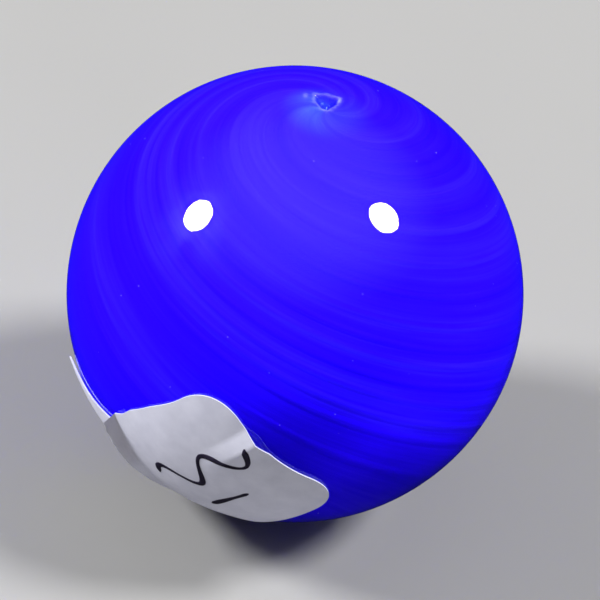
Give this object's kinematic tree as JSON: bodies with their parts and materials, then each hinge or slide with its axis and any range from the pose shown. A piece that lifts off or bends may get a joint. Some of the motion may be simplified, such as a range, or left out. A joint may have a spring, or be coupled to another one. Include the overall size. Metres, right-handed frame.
{
  "type": "glass ball",
  "caption": "Cased glass ball with a wound blue swirl under a clear skin, a broken pontil scar near its pole and a small paper price sticker with one end lifted.",
  "frame": {"origin": "centre of the glass ball", "axes": "+Z along the axis the swirl winds about, out through the pole beside the pontil scar; -Y towards the front, the side that shows the sticker's lifted end at lower left"},
  "size_m": [0.038, 0.0382, 0.038],
  "materials": {
    "gather_glass": "clear",
    "cobalt_glass": "polished, opaque cobalt blue",
    "pale_blue_glass": "opaque violet blue",
    "deep_blue_glass": "opaque deep blue",
    "clear_glass": "fire polished",
    "rod_glass": "broken, glinting",
    "adhesive": "tacky film",
    "paper": "matt uncoated, creased",
    "ink": "pen ink"
  },
  "bodies": {
    "root": {"inner_gather": "gather_glass", "cobalt_layer": "cobalt_glass", "pale_strand_1": "pale_blue_glass", "pale_strand_2": "pale_blue_glass", "pale_strand_3": "pale_blue_glass", "pale_strand_4": "pale_blue_glass", "pale_strand_5": "pale_blue_glass", "pale_strand_6": "pale_blue_glass", "pale_strand_7": "pale_blue_glass", "pale_strand_8": "pale_blue_glass", "deep_strand_1": "deep_blue_glass", "deep_strand_2": "deep_blue_glass", "deep_strand_3": "deep_blue_glass", "deep_strand_4": "deep_blue_glass", "deep_strand_5": "deep_blue_glass", "deep_strand_6": "deep_blue_glass", "deep_strand_7": "deep_blue_glass", "deep_strand_8": "deep_blue_glass", "clear_casing": "clear_glass", "pontil_stub": "rod_glass", "label_adhesive": "adhesive", "price_label": "paper", "pen_marks": "ink"}
  },
  "joints": []
}
